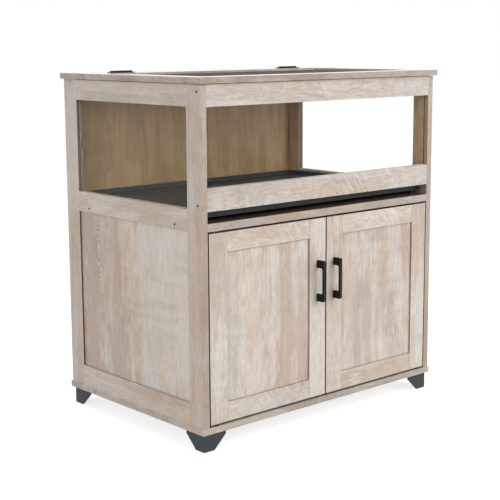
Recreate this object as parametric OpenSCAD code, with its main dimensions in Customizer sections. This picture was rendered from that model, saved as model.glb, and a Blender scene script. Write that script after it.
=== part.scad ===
// Small animal cage: a glazed habitat with a hinged mesh lid and a pull-out
// tray, standing on a two-door cabinet with four bracket feet.
// Millimetres, +Z up, front towards -Y, left and right as seen from the front.
// The origin is the middle of the whole part's underside.

/* [Carcass] */
// Width over the two side frames
carcass_w = 814; // [640:1:1100]
// Depth of the side frames from front edge to back edge
carcass_d = 562; // [440:1:700]
// Thickness of the side frame boards and of the two front rails
frame_t = 18; // [17:0.5:25]

/* [Heights] */
// Height of the feet
foot_h = 45; // [30:1:80]
// Thickness of the base board
base_t = 15; // [12:0.5:22]
// Clear height of the cabinet between base board and divider board
cabinet_h = 473; // [420:1:600]
// Thickness of the divider board
divider_t = 19; // [15:0.5:25]
// Height of the slot that the tray slides through
tray_slot_h = 28; // [27:0.5:60]
// Height of the front sill rail under the front window
sill_rail_h = 54; // [40:1:90]
// Height of the front window between its two rails
front_window_h = 188; // [120:1:320]
// Height of the head rails over the windows, front and sides
head_rail_h = 51.5; // [44:0.5:90]
// Shadow gap between the frames and the lid
lid_gap = 1.5; // [1:0.1:4]
// Thickness of the top boards and the lid rails
top_t = 15; // [13:0.5:22]

/* [Base board] */
// Overhang of the base board past each side frame
base_over_side = 3.5; // [0:0.5:12]
// Overhang of the base board past the door fronts
base_over_front = 2.5; // [0:0.5:12]
// Overhang of the base board at the back
base_over_back = 3; // [0:0.5:12]

/* [Side frames] */
// Width of the front stile
front_stile_w = 52; // [44:1:80]
// Width of the rear stile
rear_stile_w = 56; // [52:1:80]
// Height of the bottom rail
side_bottom_rail_h = 55; // [44:1:90]
// Height of the middle rail
side_middle_rail_h = 52; // [46:1:90]
// Height of the side window's sill over the divider board
side_sill_rise = 32; // [24:1:40]
// Thickness of the lower side panel
side_panel_t = 9; // [6:0.5:10]
// Depth of the lower side panel's face behind the frame's face
side_panel_recess = 5; // [3:0.5:7]
// Depth of the grooves that hold panels and panes
groove_depth = 8; // [5:0.5:9]

/* [Windows] */
// Thickness of the clear panes
pane_t = 3; // [2:0.5:4]
// Distance from the front rails' face to the front pane
front_pane_set = 12; // [6:0.5:13]

/* [Back panels] */
// Thickness of the back panels
back_panel_t = 5; // [3:0.5:8]
// Distance from the back edge of the side frames to the back panels
back_panel_set = 12; // [8:0.5:16]
// Depth of the grooves that hold the back panels
back_groove_depth = 6; // [4:0.5:8]

/* [Top boards and lid] */
// Overhang of the top boards past each side frame
top_over_side = 7.5; // [0:0.5:15]
// Overhang of the lid past the door fronts
top_over_front = 9; // [0:0.5:15]
// Overhang of the rear top board at the back
top_over_back = 6; // [0:0.5:15]
// Depth of the fixed rear top board
rear_board_d = 108; // [100:1:180]
// Gap between the rear top board and the lid
lid_seam_gap = 2; // [1:0.5:4]
// Width of the lid rails
lid_rail_w = 54; // [40:1:80]
// Depth of the mesh below the lid's top surface, to its middle
mesh_drop = 6.5; // [4:0.5:9]
// Thickness of the mesh
mesh_t = 1.6; // [1:0.1:2.5]
// Width of one wire of the mesh
mesh_wire_w = 2; // [1.5:0.1:4]
// Least distance from wire to wire
mesh_pitch = 30; // [30:1:60]
// Radius of the soft stops under the lid
bumper_r = 5; // [3:0.5:6]

/* [Lid hinges] */
// Length of a lid hinge
hinge_len = 68; // [50:1:90]
// Distance of each lid hinge from the middle of the lid
hinge_x = 297; // [120:1:330]
// Width of one hinge leaf from the pin's axis
hinge_leaf_w = 20; // [16:0.5:30]
// Thickness of a hinge leaf
hinge_leaf_t = 1.5; // [1:0.1:1.6]
// Outer radius of the hinge knuckles
knuckle_r = 2.6; // [2.4:0.1:3.5]
// Radius of the hinge pin
hinge_pin_r = 1.25; // [1:0.05:1.6]
// Number of knuckles on one hinge, an odd number
knuckle_count = 5; // [3:2:7]
// Length of the corner cuts of a hinge leaf
leaf_corner = 5; // [2:0.5:6]
// Distance of a leaf's outer screws from its ends
leaf_screw_inset = 9; // [7:0.5:12]
// Distance of a leaf's screws from the pin's axis
leaf_screw_set = 12.4; // [9:0.1:12.5]

/* [Doors] */
// Thickness of the door frames
door_t = 16; // [14:0.5:20]
// Gap between each door and the side frame
door_side_gap = 2; // [1.8:0.1:4]
// Gap between the two doors
door_meeting_gap = 4; // [2:0.5:6]
// Gap over the doors
door_top_gap = 3; // [2:0.5:6]
// Gap under the doors
door_bottom_gap = 4; // [2:0.5:6]
// Width of the door stiles
door_stile_w = 56; // [48:1:80]
// Height of the door rails
door_rail_h = 50; // [40:1:80]
// Thickness of the door panels
door_panel_t = 6; // [4:0.5:8]
// Depth of the door panels behind the door's face
door_panel_recess = 5; // [3:0.5:7]

/* [Door pivots and catches] */
// Distance of a pivot pin's axis from the door's outer edge
pivot_inset = 24; // [20:1:32]
// Radius of a pivot pin
pivot_pin_r = 3; // [2:0.5:4]
// Depth of a pivot pin in the door
pivot_pin_seat = 20; // [12:1:30]
// Depth of a pivot bush in its board
bush_depth = 9; // [6:0.5:10]
// Wall of a pivot bush
bush_wall = 2; // [1:0.5:2.5]
// Width of a bush flange past the bush's wall
bush_flange = 2; // [1:0.5:3]
// Thickness of the upper bushes' flanges
bush_flange_t = 1.5; // [1:0.1:1.8]
// Length of a magnetic catch
catch_len = 45; // [30:1:60]
// Depth of a magnetic catch
catch_d = 13; // [8:1:20]
// Height of a magnetic catch
catch_h = 11; // [8:1:16]
// Distance from a door's meeting edge to its catch
catch_inset = 8; // [4:1:40]
// Length of a strike plate
strike_len = 32; // [20:1:44]
// Height of a strike plate
strike_h = 14; // [10:1:20]
// Thickness of a strike plate
strike_t = 1.2; // [0.8:0.1:2]

/* [Handles] */
// Overall length of a handle
handle_len = 105.5; // [90:0.5:160]
// Width of a handle across the door
handle_w = 8; // [7:0.5:14]
// Distance that a handle stands out from the door
handle_proj = 25; // [20:0.5:40]
// Thickness of a handle's grip
handle_bar_t = 5; // [4:0.5:8]
// Height of a handle's foot blocks
handle_foot_h = 19; // [14:0.5:24]
// Radius of a handle's outer corners
handle_corner_r = 3; // [1:0.5:5]
// Radius of a handle's inner corners
handle_inner_r = 4; // [2:0.5:6]
// Distance of a handle's middle from the door's meeting edge
handle_inset = 27.5; // [20:0.5:36]
// Height of a handle's middle over the door's bottom edge
handle_rise = 305; // [120:1:340]
// Depth of a handle's screws in its foot blocks
handle_screw_seat = 12; // [8:1:16]

/* [Tray] */
// Distance from the door fronts to the tray's front
tray_set_back = 25; // [10:1:60]
// Height of the tray
tray_h = 15; // [10:0.5:16]
// Wall and floor thickness of the tray
tray_wall = 2; // [1:0.5:3]
// Gap between the tray and each side frame
tray_side_gap = 3; // [1:0.5:10]
// Gap between the tray and the habitat's back panel
tray_back_gap = 4; // [1:0.5:20]
// Height of the tray runners
runner_h = 10.3; // [5:0.1:10.8]
// Width of the tray runners
runner_w = 16; // [8:1:40]
// Distance from the tray's front to the runners' front
runner_set_back = 15; // [0:1:60]

/* [Feet] */
// Width of a foot's wings at the top
foot_w = 68; // [62:1:90]
// Width of a foot's wings on the floor
foot_tip_w = 32; // [15:1:60]
// Height of the straight edge at the top of a wing
foot_shoulder_h = 11; // [5:1:20]
// Thickness of a foot's wings
foot_wall = 5; // [3:0.5:8]
// Distance from the base board's edges to the wings
foot_inset = 8; // [0:0.5:20]
// Thickness of the flange that is screwed to the base board
foot_flange_t = 4; // [2:0.5:6]
// Width of the flange at the ends of the wings
foot_flange_w = 23; // [21:1:34]
// Distance of a foot's corner screw from both wings' outer faces
foot_screw_corner = 18; // [14:1:24]
// Distance of a foot's two other screws along the wings
foot_screw_reach = 48; // [36:1:50]
// Distance of those two screws from their wing's outer face
foot_screw_set = 16; // [12:0.5:17]
// Depth of the foot screws in the base board
foot_screw_grip = 10; // [6:0.5:10]

/* [Fixings] */
// Radius of the assembly screws' shanks
screw_r = 2; // [1.5:0.1:2.4]
// Radius of the assembly screws' heads
screw_head_r = 2.8; // [2.6:0.1:4]
// Depth of the assembly screws' heads below the surface
screw_sink = 1; // [0.5:0.1:2]
// Height of the assembly screws' heads
screw_head_h = 2; // [1:0.1:3]
// Length of the assembly screws
screw_len = 48; // [40:1:60]
// Radius of the round heads of the handle and foot screws
round_head_r = 3.8; // [3:0.1:4]
// Height of the round heads of the handle and foot screws
round_head_h = 2; // [1:0.1:3]
// Distance from the door fronts to the screws of the front rails
rail_screw_set = 13; // [6:0.5:14]
// Distance of the head rail's screws below its top edge
head_screw_drop = 16.5; // [8:0.5:24]
// Height of the sill rail's screws over its bottom edge
sill_screw_rise = 15; // [8:0.5:26]
// Distance of the divider board's screws from front and back
divider_screw_inset = 101; // [90:1:160]
// Distance of the base board's front screws from the door fronts
base_screw_front = 20; // [14:1:22]
// Distance of the base board's rear screws from the back of the side frames
base_screw_back = 28; // [24:1:32]
// Radius of the dowels
dowel_r = 4; // [3:0.5:5]
// Length of the dowels
dowel_len = 30; // [20:1:36]
// Distance between two dowels of one joint
dowel_pitch = 25; // [18:1:26]
// Depth of the top dowels in the rear top board
top_dowel_depth = 10; // [6:0.5:11]
// Wood left between the top dowels and the dowels that they cross
dowel_wall = 4; // [2:0.5:6]
// Radius of the small wood screws
small_screw_r = 1.6; // [1.2:0.1:2]
// Radius of the small wood screws' heads
small_head_r = 3; // [2.4:0.1:3.4]
// Height of the small wood screws' heads
small_head_h = 0.9; // [0.5:0.1:1]
// Length of the small wood screws in the top boards
small_screw_len = 10; // [6:0.5:11]
// Length of the back panels' screws
back_screw_len = 16; // [12:1:30]
// Distance of the outermost back panel screws from the side frames
back_screw_inset = 30; // [15:1:80]
// Height of the back panels' screws over and under the divider board's middle
back_screw_offset = 4.75; // [4:0.25:5]

/* [Hidden] */
// Clearance on each face of a pane or panel in its groove
groove_clear = 0.1;
// Clearance at the edges of a pane or panel in its groove
edge_clear = 1;
// Clearance round a screw or dowel in its hole
hole_clear = 0.05;
// Room left past the end of a screw or dowel in its blind hole
end_clear = 1;
// Radial clearance of a turning pin
running_clear = 0.05;
// Rest clearance of parts that only lie on each other
rest_clear = 0.2;
// Clearance between the hinge knuckles along the pin
knuckle_clear = 0.2;
// Clearance of the hinge knuckles over the boards
knuckle_lift = 0.1;
// Clearance between a hinge leaf and the other leaf's knuckles
leaf_clear = 0.4;
// Overshoot of a cut past the face that it starts from
past = 1;

x_in = carcass_w / 2 - frame_t;
x_out = carcass_w / 2;
x_mid = carcass_w / 2 - frame_t / 2;

y_front = (handle_proj - carcass_d - top_over_back) / 2;
y_back = y_front + carcass_d;
y_front_joint = y_front + front_stile_w;
y_rear_joint = y_back - rear_stile_w;
y_panel_face = y_back - back_panel_set - back_panel_t;

z_base = foot_h;
z_floor = z_base + base_t;
z_divider = z_floor + cabinet_h;
z_divider_top = z_divider + divider_t;
z_sill_low = z_divider_top + tray_slot_h;
z_sill = z_sill_low + sill_rail_h;
z_head = z_sill + front_window_h;
z_frame_top = z_head + head_rail_h;
z_carcass_top = z_frame_top + lid_gap;
z_top = z_carcass_top + top_t;
z_side_sill = z_divider_top + side_sill_rise;
z_side_middle = z_side_sill - side_middle_rail_h;
z_side_bottom = z_floor + side_bottom_rail_h;

// How far a pane or panel reaches into its groove
tongue = groove_depth - edge_clear;

x_top = x_out + top_over_side;
y_lid_front = y_front - top_over_front;
y_board_front = y_back + top_over_back - rear_board_d;
y_lid_back = y_board_front - lid_seam_gap;
y_hinge = y_board_front - lid_seam_gap / 2;
z_hinge = z_top + knuckle_lift + knuckle_r;
z_mesh = z_top - mesh_drop;
x_lid_in = x_top - lid_rail_w;
y_lid_in_front = y_lid_front + lid_rail_w;
y_lid_in_back = y_lid_back - lid_rail_w;

door_w = x_in - door_side_gap - door_meeting_gap / 2;
x_door_edge = x_in - door_side_gap;
x_door_meet = door_meeting_gap / 2;
z_door = z_floor + door_bottom_gap;
z_door_top = z_divider - door_top_gap;
y_door_back = y_front + door_t;
x_pivot = x_door_edge - pivot_inset;
y_pivot = y_front + door_t / 2;
bush_r = pivot_pin_r + bush_wall;
bush_flange_r = bush_r + bush_flange;

x_handle = x_door_meet + handle_inset;
z_handle = z_door + handle_rise;
handle_screw_z = (handle_len - handle_foot_h) / 2;
y_strike = y_door_back + strike_t;
x_catch = x_door_meet + catch_inset;

y_tray = y_front + tray_set_back;
y_tray_back = y_panel_face - tray_back_gap;
x_tray = x_in - tray_side_gap;
z_tray = z_divider_top + runner_h + rest_clear;

x_base = x_out + base_over_side;
y_base_front = y_front - base_over_front;
y_base_back = y_back + base_over_back;
x_foot = x_base - foot_inset;
y_foot_front = y_base_front + foot_inset;
y_foot_back = y_base_back - foot_inset;
// Places of a foot's screws from its outer corner
foot_screws_at = [
    [foot_screw_corner, foot_screw_corner],
    [foot_screw_reach, foot_screw_set],
    [foot_screw_set, foot_screw_reach]
];

// Heights of the side rails' middles, bottom to top
side_rail_mids = [
    z_floor + side_bottom_rail_h / 2,
    z_side_sill - side_middle_rail_h / 2,
    z_head + head_rail_h / 2
];
// Middle heights of the screws that hold the two front rails
rail_screw_heights = [z_frame_top - head_screw_drop, z_sill_low + sill_screw_rise];
// Depth places of the screws that hold the divider board
divider_screw_ys = [y_front + divider_screw_inset, y_back - divider_screw_inset];
// Depth places of the screws that hold the base board
base_screw_ys = [y_front + base_screw_front, (y_front + y_back) / 2, y_back - base_screw_back];
// Depth place of the dowel on each side under the rear top board
y_top_dowel = y_rear_joint + dowel_len / 2 + dowel_wall + dowel_r;
// Places of the screws on one hinge leaf, along the hinge
leaf_screw_xs = [-hinge_len / 2 + leaf_screw_inset, 0, hinge_len / 2 - leaf_screw_inset];
// Places of the screws that hold the back panels to the divider board
back_screw_xs = [for (i = [-2:2]) i * (x_in - back_screw_inset) / 2];

// A box between two corners
module block(low, high) {
    translate(low) cube(high - low);
}

// A round hole or rod along X, Y or Z, starting at a point
module rod_x(at, r, len) {
    translate(at) rotate([0, 90, 0]) cylinder(r = r, h = len, $fn = 32);
}
module rod_y(at, r, len) {
    translate(at) rotate([-90, 0, 0]) cylinder(r = r, h = len, $fn = 32);
}
module rod_z(at, r, len) {
    translate(at) cylinder(r = r, h = len, $fn = 32);
}

module left() {
    mirror([1, 0, 0]) children();
}

module both_sides() {
    children();
    left() children();
}

module oak() {
    color("#cdc1b1") children();
}
module clear_pane() {
    color("#dfeef0", 0.35) children();
}
module black_metal() {
    color("#26272a") children();
}
module steel() {
    color("#8c8f92") children();
}

// The assembly screws, drawn as on the right side, in their real places.
// With the hole clearance given, the same shape cuts their holes.
module screw_shape(clear) {
    rod_z([0, 0, 0], screw_r + clear, screw_len + (clear > 0 ? end_clear : 0));
    translate([0, 0, clear > 0 ? -screw_sink - past : 0])
        cylinder(r = screw_head_r + clear, h = screw_head_h + clear + (clear > 0 ? screw_sink + past : 0),
            $fn = 32);
}
module side_screws(clear = 0) {
    for (z = rail_screw_heights)
        translate([x_out - screw_sink, y_front + rail_screw_set, z])
            rotate([0, -90, 0]) screw_shape(clear);
    for (y = divider_screw_ys)
        translate([x_out - screw_sink, y, z_divider + divider_t / 2])
            rotate([0, -90, 0]) screw_shape(clear);
}
module base_screws(clear = 0) {
    for (y = base_screw_ys)
        translate([x_mid, y, z_base + screw_sink]) screw_shape(clear);
}

// The dowels of one side frame, also used to cut their holes
module side_dowels(clear = 0, room = 0) {
    for (z = side_rail_mids, up = [-1, 1], y = [y_front_joint, y_rear_joint])
        rod_y([x_mid, y - dowel_len / 2 - room, z + up * dowel_pitch / 2],
            dowel_r + clear, dowel_len + 2 * room);
}
module top_dowel(clear = 0, room = 0) {
    rod_z([x_mid, y_top_dowel, z_carcass_top + top_dowel_depth - dowel_len - room],
        dowel_r + clear, dowel_len + 2 * room);
}

// Grooves of the right side frame: window, lower panel and front pane
module side_window_space(reach, clear) {
    block([x_mid - pane_t / 2 - clear, y_front_joint - reach, z_side_sill - reach],
        [x_mid + pane_t / 2 + clear, y_rear_joint + reach, z_head + reach]);
}
module side_panel_space(reach, clear) {
    block([x_out - side_panel_recess - side_panel_t - clear, y_front_joint - reach,
            z_side_bottom - reach],
        [x_out - side_panel_recess + clear, y_rear_joint + reach, z_side_middle + reach]);
}
module front_window_space(reach, clear) {
    block([-x_in - reach, y_front + front_pane_set - clear, z_sill - reach],
        [x_in + reach, y_front + front_pane_set + pane_t + clear, z_head + reach]);
}
module back_panel_space(reach, clear, low, high) {
    block([-x_in - reach, y_panel_face - clear, low],
        [x_in + reach, y_panel_face + back_panel_t + clear, high]);
}
module side_cuts() {
    side_window_space(groove_depth, groove_clear);
    side_panel_space(groove_depth, groove_clear);
    front_window_space(groove_depth, groove_clear);
    back_panel_space(back_groove_depth, groove_clear, z_floor - past, z_carcass_top + past);
    side_dowels(hole_clear, end_clear);
    top_dowel(hole_clear, end_clear);
    side_screws(hole_clear);
    base_screws(hole_clear);
}

// Side frame boards, drawn for the right side
module front_stile() {
    oak() difference() {
        block([x_in, y_front, z_floor], [x_out, y_front_joint, z_frame_top]);
        side_cuts();
    }
}
module rear_stile() {
    oak() difference() {
        block([x_in, y_rear_joint, z_floor], [x_out, y_back, z_carcass_top]);
        side_cuts();
    }
}
module side_rail(low, high) {
    oak() difference() {
        block([x_in, y_front_joint, low], [x_out, y_rear_joint, high]);
        side_cuts();
    }
}
module side_panel() {
    oak() side_panel_space(tongue, 0);
}
module side_window() {
    clear_pane() side_window_space(tongue, 0);
}

module left_front_stile() left() front_stile();
module left_rear_stile() left() rear_stile();
module left_head_rail() left() side_rail(z_head, z_frame_top);
module left_middle_rail() left() side_rail(z_side_middle, z_side_sill);
module left_bottom_rail() left() side_rail(z_floor, z_side_bottom);
module left_lower_panel() left() side_panel();
module left_window() left() side_window();
module right_front_stile() front_stile();
module right_rear_stile() rear_stile();
module right_head_rail() side_rail(z_head, z_frame_top);
module right_middle_rail() side_rail(z_side_middle, z_side_sill);
module right_bottom_rail() side_rail(z_floor, z_side_bottom);
module right_lower_panel() side_panel();
module right_window() side_window();

// Boards between the side frames
module front_rail(low, high) {
    oak() difference() {
        block([-x_in, y_front, low], [x_in, y_front + frame_t, high]);
        front_window_space(groove_depth, groove_clear);
        both_sides() side_screws(hole_clear);
    }
}
module front_head_rail() front_rail(z_head, z_frame_top);
module front_sill_rail() front_rail(z_sill_low, z_sill);

module front_window() {
    clear_pane() front_window_space(tongue, 0);
}

module divider_board() {
    oak() difference() {
        block([-x_in, y_front, z_divider], [x_in, y_panel_face - rest_clear, z_divider_top]);
        both_sides() side_screws(hole_clear);
        bush_holes();
        back_screws(hole_clear);
    }
}

module habitat_back_panel() {
    oak() difference() {
        back_panel_space(back_groove_depth - edge_clear, 0,
            z_divider + divider_t / 2, z_carcass_top - rest_clear);
        back_screws(hole_clear);
    }
}
module cabinet_back_panel() {
    oak() difference() {
        back_panel_space(back_groove_depth - edge_clear, 0,
            z_floor + rest_clear, z_divider + divider_t / 2 - rest_clear);
        back_screws(hole_clear);
    }
}

// The screws that hold both back panels to the divider board's rear edge
module back_screws(clear = 0) {
    for (x = back_screw_xs, up = [-1, 1])
        translate([x, y_panel_face + back_panel_t, z_divider + divider_t / 2 + up * back_screw_offset])
            rotate([90, 0, 0]) {
                cylinder(r = small_screw_r + clear, h = back_screw_len + (clear > 0 ? end_clear : 0),
                    $fn = 32);
                if (clear == 0)
                    translate([0, 0, -small_head_h]) cylinder(r = small_head_r, h = small_head_h, $fn = 32);
            }
}
module back_panel_screws() {
    steel() back_screws();
}

module base_board() {
    oak() difference() {
        block([-x_base, y_base_front, z_base], [x_base, y_base_back, z_floor]);
        both_sides() base_screws(hole_clear);
        bush_holes();
        foot_screw_rods(hole_clear, end_clear);
    }
}

module assembly_screws() {
    black_metal() both_sides() {
        side_screws();
        base_screws();
    }
}
module frame_dowels() {
    color("#c9a877") both_sides() {
        side_dowels();
        top_dowel();
    }
}

// Fixed rear top board, seated on the rear stiles
module rear_top_board() {
    oak() difference() {
        block([-x_top, y_board_front, z_carcass_top], [x_top, y_back + top_over_back, z_top]);
        both_sides() top_dowel(hole_clear, end_clear);
        hinge_pair() leaf_screw_holes(1);
    }
}

// Lid: four rails with mitred corners round a sheet of mesh
module lid_rail(points) {
    oak() difference() {
        translate([0, 0, z_carcass_top]) linear_extrude(top_t) polygon(points);
        mesh_sheet(groove_depth, mesh_t / 2 + groove_clear);
        hinge_pair() leaf_screw_holes(-1);
    }
}

module mesh_sheet(reach, half_t) {
    block([-x_lid_in - reach, y_lid_in_front - reach, z_mesh - half_t],
        [x_lid_in + reach, y_lid_in_back + reach, z_mesh + half_t]);
}
module lid_front_rail() {
    lid_rail([[-x_top, y_lid_front], [x_top, y_lid_front],
        [x_lid_in, y_lid_in_front], [-x_lid_in, y_lid_in_front]]);
}
module lid_rear_rail() {
    lid_rail([[-x_lid_in, y_lid_in_back], [x_lid_in, y_lid_in_back],
        [x_top, y_lid_back], [-x_top, y_lid_back]]);
}
module lid_side_rail() {
    lid_rail([[x_top, y_lid_front], [x_top, y_lid_back],
        [x_lid_in, y_lid_in_back], [x_lid_in, y_lid_in_front]]);
}
module lid_right_rail() lid_side_rail();
module lid_left_rail() left() lid_side_rail();

module lid_mesh() {
    wide = 2 * x_lid_in;
    deep = y_lid_in_back - y_lid_in_front;
    across = floor(wide / mesh_pitch);
    back = floor(deep / mesh_pitch);
    step_x = wide / across;
    step_y = deep / back;
    black_metal() translate([0, 0, z_mesh - mesh_t / 2]) linear_extrude(mesh_t) difference() {
        translate([-x_lid_in - tongue, y_lid_in_front - tongue])
            square([wide + 2 * tongue, deep + 2 * tongue]);
        for (i = [0:across - 1], j = [0:back - 1])
            translate([-x_lid_in + i * step_x + mesh_wire_w / 2,
                    y_lid_in_front + j * step_y + mesh_wire_w / 2])
                square([step_x - mesh_wire_w, step_y - mesh_wire_w]);
    }
}

// Soft stops on the front stiles that the closed lid lies on
module lid_bumpers() {
    color("#1d1d1f") both_sides()
        rod_z([x_mid, y_front + front_stile_w / 2, z_frame_top], bumper_r, lid_gap - rest_clear);
}

// Lid hinges: side is 1 for the fixed leaf and -1 for the lid's leaf
module hinge_pair() {
    for (x = [-hinge_x, hinge_x])
        translate([x, y_hinge, z_top]) children();
}
module leaf(side) {
    step = hinge_len / knuckle_count;
    lap = knuckle_r + leaf_clear;
    difference() {
        union() {
            linear_extrude(hinge_leaf_t)
                polygon([[-hinge_len / 2, side * lap], [hinge_len / 2, side * lap],
                    [hinge_len / 2, side * (hinge_leaf_w - leaf_corner)],
                    [hinge_len / 2 - leaf_corner, side * hinge_leaf_w],
                    [-hinge_len / 2 + leaf_corner, side * hinge_leaf_w],
                    [-hinge_len / 2, side * (hinge_leaf_w - leaf_corner)]]);
            for (k = [(side > 0 ? 0 : 1):2:knuckle_count - 1]) {
                low = -hinge_len / 2 + k * step + knuckle_clear / 2;
                rod_x([low, 0, z_hinge - z_top], knuckle_r, step - knuckle_clear);
                translate([low, side > 0 ? 0 : -lap - past, 0])
                    cube([step - knuckle_clear, lap + past, hinge_leaf_t]);
            }
        }
        rod_x([-hinge_len / 2 - past, 0, z_hinge - z_top],
            hinge_pin_r + running_clear, hinge_len + 2 * past);
        for (x = leaf_screw_xs)
            rod_z([x, side * leaf_screw_set, -past], small_screw_r + hole_clear, hinge_leaf_t + 2 * past);
    }
}
module leaf_screw_holes(side) {
    for (x = leaf_screw_xs)
        rod_z([x, side * leaf_screw_set, -small_screw_len - end_clear],
            small_screw_r + hole_clear, small_screw_len + end_clear + past);
}
module leaf_screws(side) {
    for (x = leaf_screw_xs)
        translate([x, side * leaf_screw_set, 0]) {
            rod_z([0, 0, -small_screw_len], small_screw_r, small_screw_len + hinge_leaf_t + small_head_h);
            rod_z([0, 0, hinge_leaf_t], small_head_r, small_head_h);
        }
}
module lid_hinge_fixed_leaves() {
    black_metal() hinge_pair() leaf(1);
}
module lid_hinge_lid_leaves() {
    black_metal() hinge_pair() leaf(-1);
}
module lid_hinge_pins() {
    steel() hinge_pair() rod_x([-hinge_len / 2, 0, z_hinge - z_top], hinge_pin_r, hinge_len);
}
module fixed_leaf_screws() {
    black_metal() hinge_pair() leaf_screws(1);
}
module lid_leaf_screws() {
    black_metal() hinge_pair() leaf_screws(-1);
}

// Doors, drawn for the right side. The outer stile holds the pivot pins.
module door_panel_space(reach, clear) {
    block([x_door_meet + door_stile_w - reach, y_front + door_panel_recess - clear,
            z_door + door_rail_h - reach],
        [x_door_edge - door_stile_w + reach, y_front + door_panel_recess + door_panel_t + clear,
            z_door_top - door_rail_h + reach]);
}
module door_stiles() {
    oak() difference() {
        for (x = [x_door_meet, x_door_edge - door_stile_w])
            block([x, y_front, z_door], [x + door_stile_w, y_door_back, z_door_top]);
        door_panel_space(groove_depth, groove_clear);
        pivot_pins(hole_clear, end_clear);
        handle_screw_rods(hole_clear);
    }
}
module door_rails() {
    oak() difference() {
        for (z = [z_door, z_door_top - door_rail_h])
            block([x_door_meet + door_stile_w, y_front, z],
                [x_door_edge - door_stile_w, y_door_back, z + door_rail_h]);
        door_panel_space(groove_depth, groove_clear);
    }
}
module door_panel() {
    oak() door_panel_space(tongue, 0);
}
// Pivot pins reach from the door into the bushes above and below it
module pivot_pins(clear = 0, room = 0) {
    low_end = z_floor - bush_depth + end_clear;
    high_end = z_divider + bush_depth - end_clear;
    rod_z([x_pivot, y_pivot, low_end], pivot_pin_r + clear, z_door + pivot_pin_seat + room - low_end);
    rod_z([x_pivot, y_pivot, z_door_top - pivot_pin_seat - room], pivot_pin_r + clear,
        high_end - z_door_top + pivot_pin_seat + room);
}
module strike_plate() {
    steel() block([x_catch, y_door_back, z_door_top - strike_h],
        [x_catch + strike_len, y_strike, z_door_top - rest_clear]);
}
module left_door_stiles() left() door_stiles();
module left_door_rails() left() door_rails();
module left_door_panel() left() door_panel();
module left_door_pivots() steel() left() pivot_pins();
module left_strike_plate() left() strike_plate();
module right_door_stiles() door_stiles();
module right_door_rails() door_rails();
module right_door_panel() door_panel();
module right_door_pivots() steel() pivot_pins();
module right_strike_plate() strike_plate();

// Bushes in the base board and the divider board. The lower flanges carry the doors.
module bush_holes() {
    both_sides() {
        rod_z([x_pivot, y_pivot, z_floor - bush_depth], bush_r, bush_depth + past);
        rod_z([x_pivot, y_pivot, z_divider - past], bush_r, bush_depth + past);
    }
}
module bush(flange_t) {
    difference() {
        union() {
            rod_z([0, 0, -bush_depth], bush_r, bush_depth + flange_t);
            rod_z([0, 0, 0], bush_flange_r, flange_t);
        }
        rod_z([0, 0, -bush_depth - past], pivot_pin_r + running_clear,
            bush_depth + flange_t + 2 * past);
    }
}
module pivot_bushes() {
    color("#1d1d1f") both_sides() {
        translate([x_pivot, y_pivot, z_floor]) bush(door_bottom_gap - rest_clear);
        translate([x_pivot, y_pivot, z_divider]) mirror([0, 0, 1]) bush(bush_flange_t);
    }
}
module door_catches() {
    color("#1d1d1f") both_sides()
        block([x_catch, y_strike + rest_clear, z_divider - catch_h],
            [x_catch + catch_len, y_strike + rest_clear + catch_d, z_divider]);
}

// Bow handle: a flat grip between two foot blocks, screwed from inside the door
module rounded_rect(low, high, r) {
    translate([low[0] + r, low[1]]) square([high[0] - low[0] - 2 * r, high[1] - low[1]]);
    translate([low[0], low[1] + r]) square([high[0] - low[0], high[1] - low[1] - 2 * r]);
    for (x = [low[0] + r, high[0] - r], y = [low[1] + r, high[1] - r])
        translate([x, y]) circle(r = r, $fn = 32);
}
module handle_profile() {
    half = handle_len / 2;
    open = half - handle_foot_h;
    difference() {
        intersection() {
            rounded_rect([-handle_proj, -half], [handle_proj, half], handle_corner_r);
            translate([-handle_proj, -half]) square([handle_proj, handle_len]);
        }
        intersection() {
            rounded_rect([-handle_proj + handle_bar_t, -open], [handle_proj, open], handle_inner_r);
            translate([-handle_proj, -open]) square([handle_proj + past, 2 * open]);
        }
    }
}
module handle() {
    black_metal() difference() {
        translate([x_handle - handle_w / 2, y_front, z_handle])
            rotate([90, 0, 90]) linear_extrude(handle_w) handle_profile();
        handle_screw_rods(hole_clear);
    }
}
module handle_screw_rods(clear = 0) {
    for (up = [-1, 1])
        rod_y([x_handle, y_front - handle_screw_seat - (clear > 0 ? end_clear : 0),
                z_handle + up * handle_screw_z],
            screw_r + clear, handle_screw_seat + door_t + (clear > 0 ? end_clear + past : 0));
}
module handle_screws() {
    steel() {
        handle_screw_rods();
        for (up = [-1, 1])
            rod_y([x_handle, y_door_back, z_handle + up * handle_screw_z],
                round_head_r, round_head_h);
    }
}
module left_handle() left() handle();
module left_handle_screws() left() handle_screws();
module right_handle() handle();
module right_handle_screws() handle_screws();

// Pull-out tray on two runners over the divider board
module tray() {
    black_metal() difference() {
        block([-x_tray, y_tray, z_tray], [x_tray, y_tray_back, z_tray + tray_h]);
        block([-x_tray + tray_wall, y_tray + tray_wall, z_tray + tray_wall],
            [x_tray - tray_wall, y_tray_back - tray_wall, z_tray + tray_h + past]);
    }
}
module tray_runner() {
    oak() block([x_in - runner_w, y_tray + runner_set_back, z_divider_top],
        [x_in, y_tray_back, z_divider_top + runner_h]);
}
module left_tray_runner() left() tray_runner();
module right_tray_runner() tray_runner();

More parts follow.
